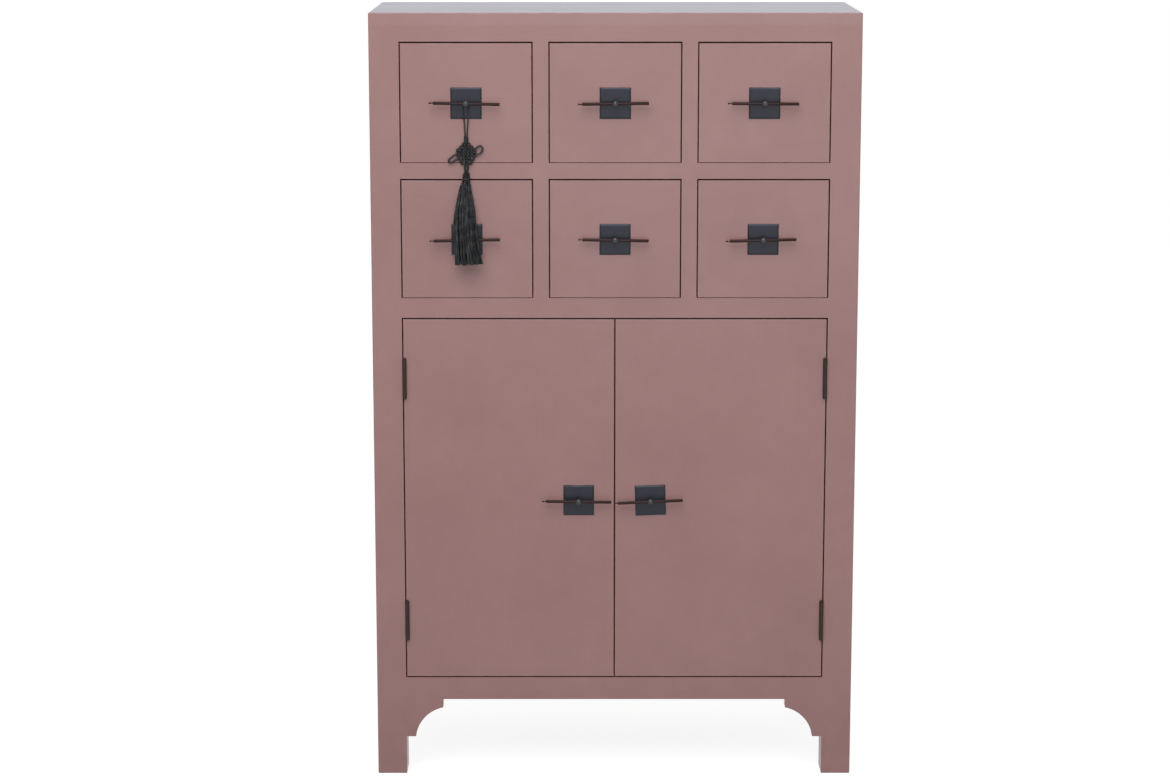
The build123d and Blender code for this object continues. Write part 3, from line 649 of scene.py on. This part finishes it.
def grain_of_box(low, high):
    """Grain from front to back in the two sides of a drawer box, and across in its other boards."""

    def grain_of(tree, place):
        from_middle = sum_up(tree, "SUBTRACT", place[0], 0.5 * (low.x + high.x))
        is_side = sum_up(
            tree, "GREATER_THAN", sum_up(tree, "ABSOLUTE", from_middle), 0.5 * (high.x - low.x) - box_side
        )
        grains = {0: is_side, 4: grain_along_x(tree, place), 5: grain_along_y(tree, place)}
        return put(tree, "Mix", grains, data_type="VECTOR").outputs[1]

    return grain_of


for column in ("left", "middle", "right"):
    box_grain = grain_of_box(*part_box(f"drawer_upper_{column}_box"))
    box_wood = bare_timber(f"pine_box_{column}", pine_early, pine_late, pine_ring, box_grain)
    for row in ("upper", "lower"):
        name = f"drawer_{row}_{column}"
        finish_nodes(box_wood, f"{name}_box")
        lacquer = lacquered(f"lacquer_{name}", *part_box(f"{name}_front"), along_x, panel_rub)
        finish_nodes(lacquer, f"{name}_front")
        low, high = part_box(f"{name}_box")
        brads = bmesh.new()
        for index in range(brads_a_corner):
            rise = (index + 0.5) / brads_a_corner * (high.z - low.z - brad_margin) + brad_start
            for x, facing in ((low.x, -1), (high.x, 1)):
                stand = Matrix.Translation((x, high.y - brad_inset, low.z + rise))
                face = Matrix.Rotation(facing * 0.5 * math.pi, 4, "Y")
                bmesh.ops.create_cone(
                    brads,
                    cap_ends=True,
                    segments=12,
                    radius1=brad_radius,
                    radius2=brad_taper * brad_radius,
                    depth=2.0 * brad_proud,
                    matrix=stand @ face,
                )
        piece(f"{name}_brads", brads, steel, name)

# Pulls
# Each pull is a bevelled square plate of black iron, a ball-headed post through plate and board with
# a nut behind, and a loose cross pin of dark bronze that ends in a small bead at the left.
iron_dark = (0.014, 0.0155, 0.024, 1.0)
iron_pale = (0.040, 0.044, 0.060, 1.0)
iron_rim_brown = (0.014, 0.007, 0.006, 1.0)
pin_dark = (0.023, 0.0080, 0.0070, 1.0)
pin_pale = (0.046, 0.0170, 0.0150, 1.0)
plate_rim = 1.5 * mm
board_front = -122.3 * mm
board_thickness = 18.0 * mm
post_neck_radius = 2.5 * mm
post_shank_radius = 2.0 * mm
post_neck_start = 2.15 * mm
ball_radius = 4.4 * mm
ball_height = 11.0 * mm
ball_steps = 14
post_sides = 32
pin_radius = 2.0 * mm
pin_left = 43.0 * mm
pin_right = 42.5 * mm
pin_end_round = 0.7 * mm
pin_end_ease = 0.3 * pin_end_round
pin_sides = 24
pin_neck_radius = 0.7 * mm
pin_neck_length = 3.0 * mm
bead_radius = 1.2 * mm
nut_radius = 4.0 * mm
nut_thickness = 3.0 * mm
nut_gap = 0.15 * mm
nut_bevel = 0.25 * mm
tail_length = 1.5 * mm
thread_pitch = 0.5 * mm
thread_depth = 0.25 * mm
# How far each pin is tilted, in degrees, and moved along, in mm.
pin_places = {
    "drawer_upper_left": (1.2, 1.0),
    "drawer_upper_middle": (-0.8, 0.4),
    "drawer_upper_right": (0.4, 1.0),
    "drawer_lower_left": (-1.1, 0.5),
    "drawer_lower_middle": (1.0, 0.8),
    "drawer_lower_right": (-1.4, -0.2),
    "door_left": (0.8, 0.2),
    "door_right": (-2.6, 0.0),
}


def turn_up(bm, stations, matrix, sides):
    """A turned solid. A station is a radius and a height, and a ball's middle where the way is round."""
    turning = bmesh.new()
    last = turning.verts.new((stations[0][0], 0.0, stations[0][1]))
    for radius, height, *ball in stations[1:]:
        if ball:
            middle = Vector((0.0, 0.0, ball[0]))
            sweep = (last.co - middle).angle(Vector((radius, 0.0, height)) - middle)
            arc = bmesh.ops.spin(
                turning, geom=[last], cent=middle, axis=(0.0, -1.0, 0.0), angle=sweep, steps=ball_steps
            )["geom_last"]
            last = [part for part in arc if isinstance(part, bmesh.types.BMVert)][0]
        else:
            station = turning.verts.new((radius, 0.0, height))
            turning.edges.new((last, station))
            last = station
    bmesh.ops.spin(
        turning,
        geom=turning.verts[:] + turning.edges[:],
        cent=(0.0, 0.0, 0.0),
        axis=(0.0, 0.0, 1.0),
        angle=2.0 * math.pi,
        steps=sides,
        use_merge=True,
    )
    bmesh.ops.remove_doubles(turning, verts=turning.verts[:], dist=0.002 * mm)
    bmesh.ops.recalc_face_normals(turning, faces=turning.faces[:])
    bmesh.ops.transform(turning, verts=turning.verts[:], matrix=matrix)
    mesh = bpy.data.meshes.new("turning")
    turning.to_mesh(mesh)
    turning.free()
    bm.from_mesh(mesh)
    bpy.data.meshes.remove(mesh)


nut_start = -board_thickness - nut_gap
tail_end = nut_start - nut_thickness - tail_length
neck_end = ball_height - math.sqrt(ball_radius**2 - post_neck_radius**2)
bead_middle = -pin_left - pin_neck_length - bead_radius
bead_end = bead_middle + math.sqrt(bead_radius**2 - pin_neck_radius**2)
post_stations = [(0.0, tail_end)]
for index in range(int((tail_length + nut_thickness) / thread_pitch)):
    post_stations.append((post_shank_radius - thread_depth, tail_end + index * thread_pitch))
    post_stations.append((post_shank_radius, tail_end + (index + 0.5) * thread_pitch))
post_stations += [
    (post_shank_radius, post_neck_start),
    (post_neck_radius, post_neck_start),
    (post_neck_radius, neck_end),
    (0.0, ball_height + ball_radius, ball_height),
]
pin_stations = [
    (0.0, bead_middle - bead_radius),
    (pin_neck_radius, bead_end, bead_middle),
    (pin_neck_radius, -pin_left),
    (pin_radius - pin_end_round, -pin_left),
    (pin_radius - pin_end_ease, -pin_left + pin_end_ease),
    (pin_radius, -pin_left + pin_end_round),
    (pin_radius, pin_right - pin_end_round),
    (pin_radius - pin_end_ease, pin_right - pin_end_ease),
    (pin_radius - pin_end_round, pin_right),
    (0.0, pin_right),
]
pin_bronze = metal("pin_bronze", pin_dark, pin_pale, metallic=0.0, depth=0.02 * mm)
pin_bronze.node_tree.nodes["Principled BSDF"].inputs["Specular IOR Level"].default_value = 0.2
post_iron = metal("post_iron", iron_dark, iron_pale, metallic=0.0, depth=0.01 * mm)
post_surface = post_iron.node_tree.nodes["Principled BSDF"]
post_surface.inputs["Specular IOR Level"].default_value = 0.1
post_surface.inputs["Coat Weight"].default_value = 1.0
post_surface.inputs["Coat Roughness"].default_value = 0.08
outwards = Matrix.Rotation(0.5 * math.pi, 4, "X")
for name, (tilt, slide) in pin_places.items():
    plate_low, plate_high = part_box(f"{name}_pull_plate")
    # The plate goes dark brown towards its rim.
    rim = (plate_low, plate_high, iron_rim_brown, plate_rim)
    plate_iron = metal(f"iron_{name}", iron_dark, iron_pale, metallic=0.45, depth=0.05 * mm, rim=rim)
    finish_nodes(plate_iron, f"{name}_pull_plate")
    plate_middle = 0.5 * (plate_low + plate_high)
    board = Matrix.Translation((plate_middle.x, board_front, plate_middle.z)) @ outwards
    across = Matrix.Translation((slide * mm, 0.0, ball_height)) @ Matrix.Rotation(0.5 * math.pi, 4, "Y")
    hang = Matrix.Rotation(math.radians(-tilt), 4, "Z")
    pin = bmesh.new()
    turn_up(pin, pin_stations, board @ hang @ across, pin_sides)
    piece(f"{name}_cross_pin", pin, pin_bronze, f"{name}_pull")
    post = bmesh.new()
    turn_up(post, post_stations, board, post_sides)
    nut = bmesh.ops.create_cone(
        post,
        cap_ends=True,
        segments=6,
        radius1=nut_radius,
        radius2=nut_radius,
        depth=nut_thickness,
        matrix=board @ Matrix.Translation((0.0, 0.0, nut_start - 0.5 * nut_thickness)),
    )["verts"]
    bmesh.ops.bevel(
        post,
        geom=list({edge for vert in nut for edge in vert.link_edges}),
        offset=nut_bevel,
        affect="EDGES",
        segments=2,
        profile=0.5,
        material=-1,
    )
    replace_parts(piece(f"{name}_post", post, post_iron, f"{name}_pull"), f"{name}_pull_handle")

# Tassel knot
# Black cord is looped and plaited by hand into a flat diamond with small petals. It has one longer
# ear at each side, a whipped collar above and two short cords below.
post_low, post_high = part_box("drawer_upper_left_pull_plate")
post_x = 0.5 * (post_low.x + post_high.x)
post_z = 0.5 * (post_low.z + post_high.z)
cord_y = -125.5 * mm
thread_deep = (0.0045, 0.0048, 0.0052, 1.0)
thread_mid = (0.0120, 0.0130, 0.0145, 1.0)
# Pale tone of the painted sheen streaks on the threads.
thread_sheen_pale = (0.0850, 0.0880, 0.0950, 1.0)
thread_plies = 2.0
thread_roughness = (0.30, 0.48)
thread_relief = 0.25 * mm
loose_spots = 2400.0
loose_range = (0.3, 0.7)
loose_share = 0.7
loose_relief = 0.5
tuft_spots = 210.0
groove_shade_range = (0.15, 1.0)
sheen_streak_spots = 380.0
sheen_streak_stretch = (1.0, 1.0, 0.06)
sheen_streak_range = (0.50, 0.70)
sheen_streak_share = 0.7
knot_cord = 1.22 * mm
knot_middle = post_z - 63.2 * mm
weave_slope = math.radians(46.0)
weave_pitch = 2.7 * mm
weave_strands = 6
weave_rise = 2.4 * mm
petal_reach = 4.2 * mm
petal_sag = 0.34
petal_round = 0.8 * mm
petal_shoulder = 0.55
petal_tip = 0.6
ear_lift = 0.4 * mm
# Points of the ears and tails, and the start and turns of each whip, in mm from the knot's middle.
left_ear = (
    *((-8.0, 1.0), (-13.5, -2.2), (-19.0, -5.8), (-22.8, -9.2)),
    *((-22.6, -13.0), (-18.4, -12.8), (-13.0, -9.2), (-8.0, -6.0)),
)
right_ear = (
    *((8.0, 1.0), (11.5, 4.2), (15.4, 8.4), (20.2, 8.4)),
    *((21.4, 3.6), (18.6, -1.0), (13.6, -3.0), (8.0, -4.0)),
)
whip_places = ((12.6, 3.5), (-17.4, 1.5))
whip_radius = 2.0 * mm
whip_pitch = 2.1
whip_steps_a_turn = 8
tail_lift = 0.3 * mm
tail = ((0.9, -12.0), (1.4, -15.0), (2.0, -18.0), (2.1, -20.5), (1.4, -23.5), (1.0, -26.4))


def thread_material(name, twists):
    """Black thread laid in two plies, with so many turns along a cord and loose fibres."""
    material, tree, surface = new_material(name)
    lie = put(tree, "SeparateXYZ", {0: put(tree, "TexCoord").outputs["UV"]}).outputs
    place = object_place(tree)
    lay = mingle(tree, (lie[1], thread_plies), (lie[0], twists))
    ply = sum_up(tree, "ABSOLUTE", sum_up(tree, "SINE", sum_up(tree, "MULTIPLY", lay, math.pi)))
    loose = speckle(tree, place, loose_spots, detail=3.0)
    tufts = speckle(tree, place, tuft_spots, detail=2.0)
    # Painted shade: the colour goes deep in the grooves between the plies, and tufts and loose fibres
    # vary its tone.
    tone = sum_up(tree, "MULTIPLY", ply, mingle(tree, (tufts, 1.0), (loose, loose_share)))
    groove_shaded = blend_colours(tree, spread(tree, tone, *groove_shade_range), thread_deep, thread_mid)
    # Painted sheen: long pale streaks down the threads stand in for glints, and vary the tone from thread
    # to thread.
    drawn_down = place_sum(tree, "MULTIPLY", place, sheen_streak_stretch)
    sheen_streaks = spread(tree, speckle(tree, drawn_down, sheen_streak_spots, detail=2.0), *sheen_streak_range, 0.0, sheen_streak_share)
    colour = blend_colours(tree, sheen_streaks, groove_shaded, thread_sheen_pale)
    roughness = spread(tree, loose, *loose_range, *thread_roughness)
    height = mingle(tree, (ply, 1.0), (loose, loose_relief))
    dress(tree, surface, colour, roughness, height, depth=thread_relief, strength=0.7)
    surface.inputs["Specular IOR Level"].default_value = 0.32
    return material


def cord_curve(name, radius, roundness):
    """An empty curve with a round section."""
    curve = bpy.data.curves.new(name, "CURVE")
    curve.dimensions = "3D"
    curve.bevel_depth = radius
    curve.bevel_resolution = roundness
    curve.resolution_u = 6
    curve.use_fill_caps = True
    return curve


def lay_cord(curve, points, closed=False):
    """One smooth run of cord through a curve's control points."""
    spline = curve.splines.new("NURBS")
    spline.points.add(len(points) - 1)
    for control, point in zip(spline.points, points):
        control.co = (*point, 1.0)
    spline.order_u = 3
    spline.use_cyclic_u = closed
    spline.use_endpoint_u = not closed
    return spline


def curve_piece(name, curve, material, body):
    """A curve made into a mesh piece that rides on a body."""
    source = bpy.data.objects.new(name + "_line", curve)
    scene.collection.objects.link(source)
    bpy.context.view_layer.update()
    mesh = bpy.data.meshes.new_from_object(source.evaluated_get(bpy.context.evaluated_depsgraph_get()))
    bpy.data.objects.remove(source)
    mesh.name = name
    mesh.materials.clear()
    mesh.materials.append(material)
    mesh.shade_smooth()
    made = bpy.data.objects.new(name, mesh)
    scene.collection.objects.link(made)
    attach(made, body)
    return made


def on_knot(x, z, y=0.0):
    """A point of the knot, from its middle, with y towards the viewer."""
    return Vector((post_x + x, cord_y - y, knot_middle + z))


offsets = [weave_pitch * (index - 0.5 * (weave_strands - 1)) for index in range(weave_strands)]
crossing_turn = 2.0 * weave_slope


def on_strand(run, aside, strand, other):
    """Where a strand is crossed by one of the other family, or would be at that distance."""
    along = -(other + strand * math.cos(crossing_turn)) / math.sin(crossing_turn)
    return run * along + aside * strand


knot_curve = cord_curve("tassel_knot_cords", knot_cord, roundness=2)
for family in (1, -1):
    run = Vector((math.cos(weave_slope), family * math.sin(weave_slope)))
    aside = Vector((-run.y, run.x)) * family
    for first in range(0, weave_strands, 2):
        loop = []
        for index, way in ((first, 1), (first + 1, -1)):
            for other in range(weave_strands)[::way]:
                over = 1 if (index + other) % 2 == 0 else -1
                spot = on_strand(run, aside, offsets[index], offsets[other])
                loop.append(on_knot(spot.x, spot.y, family * over * weave_rise))
            reach = petal_reach + petal_sag * max(0.0, -spot.y)
            for strand, share, swell in (
                (offsets[index], petal_shoulder, way),
                (offsets[index], 1.0, petal_tip * way),
                (offsets[index + way], 1.0, -petal_tip * way),
                (offsets[index + way], petal_shoulder, -way),
            ):
                beyond = way * (offsets[-1] + share * reach)
                spot = on_strand(run, aside, strand - swell * petal_round, beyond)
                loop.append(on_knot(spot.x, spot.y))
        lay_cord(knot_curve, loop, closed=True)
for ear in (left_ear, right_ear):
    lay_cord(knot_curve, [on_knot(x * mm, z * mm, ear_lift) for x, z in ear], closed=True)
for whip_start, whip_turns in whip_places:
    whip_steps = int(whip_steps_a_turn * whip_turns)
    whip = []
    for step in range(whip_steps + 1):
        turn = 2.0 * math.pi * step / whip_steps_a_turn
        height = (whip_start + whip_pitch * whip_turns * step / whip_steps) * mm
        whip.append(on_knot(whip_radius * math.cos(turn), height, whip_radius * math.sin(turn)))
    lay_cord(knot_curve, whip)
for side in (-1, 1):
    lay_cord(knot_curve, [on_knot(side * x * mm, z * mm, tail_lift) for x, z in tail])
knot_thread = thread_material("black_cord", twists=34.0)
knot = curve_piece("tassel_knot_plait", knot_curve, knot_thread, "tassel")
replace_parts(knot, "tassel_knot")

# Tassel skirt
# Some three hundred two-ply threads are folded over the cord, bound at the head and cut straight at
# the hem. They hang down, lean out over the pull below and spread a little to the right.
head_top = post_z - 88.5 * mm
head_y = -128.0 * mm
lock_count = 34
threads_a_lock = 9
lock_radius = 1.5
thread_seed = 7
thread_radius = 0.62 * mm
lock_sway = 0.9
cut_range = (-0.9, 0.6)
swell_range = (0.8, 1.2)
free_below = 10.0
free_within = 40.0
least_freedom = 0.1
hem_lift = 0.07
# Drop below the head, lean, half width, half depth and shift, in mm, and the share of the thickness.
thread_sections = (
    (0.4, 0.0, 3.6, 2.8, 0.0, 0.75),
    (3.0, 0.0, 4.9, 3.8, 0.0, 0.80),
    (10.0, 0.0, 4.5, 3.4, -0.2, 0.70),
    (19.0, -1.6, 7.4, 3.6, -1.2, 0.90),
    (32.2, -4.3, 10.4, 4.0, -1.4, 1.00),
    (50.0, -9.2, 13.4, 4.3, -1.4, 1.00),
    (67.0, -13.2, 14.9, 4.4, -0.9, 1.00),
    (82.6, -15.7, 15.4, 4.4, 0.0, 1.00),
    (100.0, -16.4, 17.0, 4.6, 1.9, 1.00),
    (117.0, -17.2, 19.4, 4.8, 3.9, 1.00),
)
skirt_curve = cord_curve("tassel_skirt_threads", thread_radius, roundness=0)
skirt_curve.resolution_u = 2
draw = random.Random(thread_seed)
golden_turn = math.pi * (3.0 - math.sqrt(5.0))
for index in range(lock_count):
    reach = math.sqrt((index + 0.5) / lock_count)
    turn = index * golden_turn
    sway = [draw.uniform(-lock_sway, lock_sway) for _ in thread_sections]
    for _ in range(threads_a_lock):
        aside_x = lock_radius * draw.uniform(-1.0, 1.0)
        aside_y = lock_radius * draw.uniform(-1.0, 1.0)
        cut = draw.uniform(*cut_range)
        points = []
        for (drop, lean, half_x, half_y, shift, _), bend in zip(thread_sections, sway):
            freedom = min(1.0, max(least_freedom, (drop - free_below) / free_within))
            x = shift + half_x * reach * math.cos(turn) + freedom * (bend + aside_x)
            y = lean + half_y * reach * math.sin(turn) + freedom * 0.5 * aside_y
            points.append([post_x + x * mm, head_y + y * mm, head_top - drop * mm])
        points[-1][2] += (hem_lift * max(0.0, (points[-1][0] - post_x) / mm) - cut) * mm
        thread = lay_cord(skirt_curve, points)
        for control, (*_, thickness) in zip(thread.points, thread_sections):
            control.radius = thickness * draw.uniform(*swell_range)
skirt_thread = thread_material("black_thread", twists=9.0)
skirt = curve_piece("tassel_threads", skirt_curve, skirt_thread, "tassel")
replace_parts(skirt, "tassel_skirt")
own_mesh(skirt)

binding_radius = 0.42 * mm
binding_turns = 4
binding_steps = 10
binding_start = 7.2 * mm
binding_height = 2.6 * mm
binding_half_x = 4.9
binding_half_y = 4.1
binding_shift = 0.2
binding_curve = cord_curve("tassel_binding_thread", binding_radius, roundness=1)
binding = []
for step in range(binding_turns * binding_steps + 1):
    turn = 2.0 * math.pi * step / binding_steps
    drop = binding_start + binding_height * step / (binding_turns * binding_steps)
    x = post_x + (binding_half_x * math.cos(turn) - binding_shift) * mm
    binding.append((x, head_y - binding_half_y * math.sin(turn) * mm, head_top - drop))
lay_cord(binding_curve, binding)
binding_thread = thread_material("binding_thread", twists=60.0)
curve_piece("tassel_binding", binding_curve, binding_thread, "tassel")

# Tassel loop
# One thin cord of black two-ply thread. It goes up from the knot, round the neck of the post behind
# its ball, and back down into the knot.
loop_cord = 1.8 * mm
loop_points = ((1.1, -42.9), (3.7, -3.7), (3.7, 3.7), (-3.7, 3.7), (-3.7, -3.7), (-1.1, -42.9))
loop_curve = cord_curve("tassel_loop_cord", 0.5 * loop_cord, roundness=3)
loop_curve.resolution_u = 12
lay_cord(loop_curve, [(post_x + x * mm, cord_y, post_z + z * mm) for x, z in loop_points])
loop_curve.materials.append(thread_material("loop_cord", twists=40.0))
loop = bpy.data.objects.new("tassel_loop_cord", loop_curve)
scene.collection.objects.link(loop)
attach(loop, "tassel")
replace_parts(loop, "tassel_loop")
